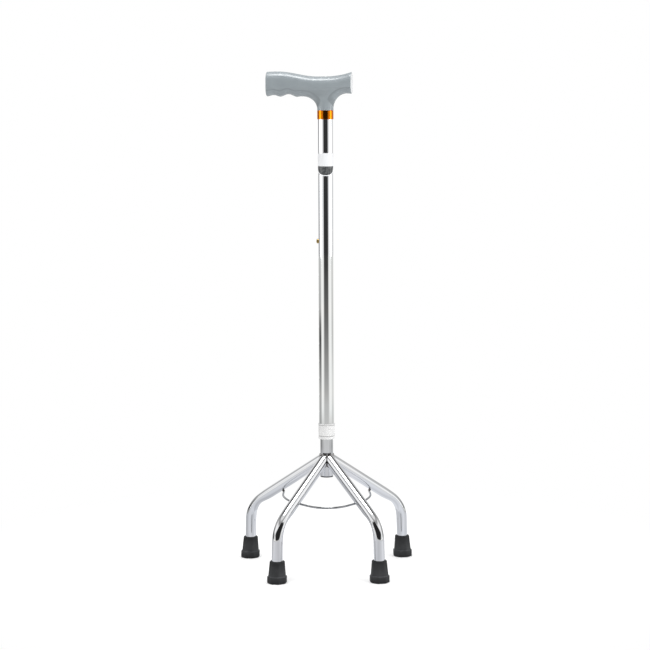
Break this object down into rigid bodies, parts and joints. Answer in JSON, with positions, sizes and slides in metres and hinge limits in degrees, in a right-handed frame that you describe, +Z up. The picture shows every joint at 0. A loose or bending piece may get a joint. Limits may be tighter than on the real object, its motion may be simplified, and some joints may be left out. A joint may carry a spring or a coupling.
{
  "type": "quad cane",
  "caption": "Walking cane with a moulded T grip on a telescoping chromed tube, carried by spread bent-tube legs with rubber tips and a wire brace.",
  "frame": {"origin": "on the floor, at the middle of the rectangle round the four feet", "axes": "+Z up along the shaft; -Y towards the front pair of legs; -X the side of the height holes, the snap button and the grip's long arm"},
  "size_m": [0.2596, 0.1935, 0.7336],
  "materials": {
    "chrome": "bright chrome plate on steel tube",
    "orange_anodised": "bright orange anodised",
    "brass": "plain turned brass",
    "spring_steel": "spring steel strip",
    "washer_steel": "zinc-plated steel",
    "grey_plastic": "gloss moulded, bluish grey",
    "pale_plastic": "satin moulded, pale grey",
    "black_plastic": "satin moulded, black",
    "black_rubber": "moulded black rubber"
  },
  "bodies": {
    "base": {"lower_tube": "chrome", "leg_front_left": "chrome", "leg_front_right": "chrome", "leg_rear_left": "chrome", "leg_rear_right": "chrome", "brace_wire": "chrome", "tube_end_plug": "black_plastic", "button_spring": "spring_steel", "rubber_tip_front_left": "black_rubber", "rubber_tip_front_right": "black_rubber", "rubber_tip_rear_left": "black_rubber", "rubber_tip_rear_right": "black_rubber", "tip_washer_front_left": "washer_steel", "tip_washer_front_right": "washer_steel", "tip_washer_rear_left": "washer_steel", "tip_washer_rear_right": "washer_steel"},
    "button": {"snap_button": "brass"},
    "upper": {"upper_tube": "chrome", "anti_rattle_collar": "pale_plastic", "collar_ring": "orange_anodised", "handle_grip": "grey_plastic", "handle_end_cap": "pale_plastic"}
  },
  "joints": [
    {"name": "height_slide", "type": "slide", "parent": "base", "child": "upper", "axis": [0, 0, 1], "range_m": [0, 0.254], "deforming": ["snap_button", "button_spring"]},
    {"name": "button_press", "type": "slide", "parent": "base", "child": "button", "axis": [1, 0, 0], "range_m": [0, 0.0042], "stiffness_N_per_m": 1500, "springref_m": -0.003, "deforming": ["button_spring"]}
  ]
}
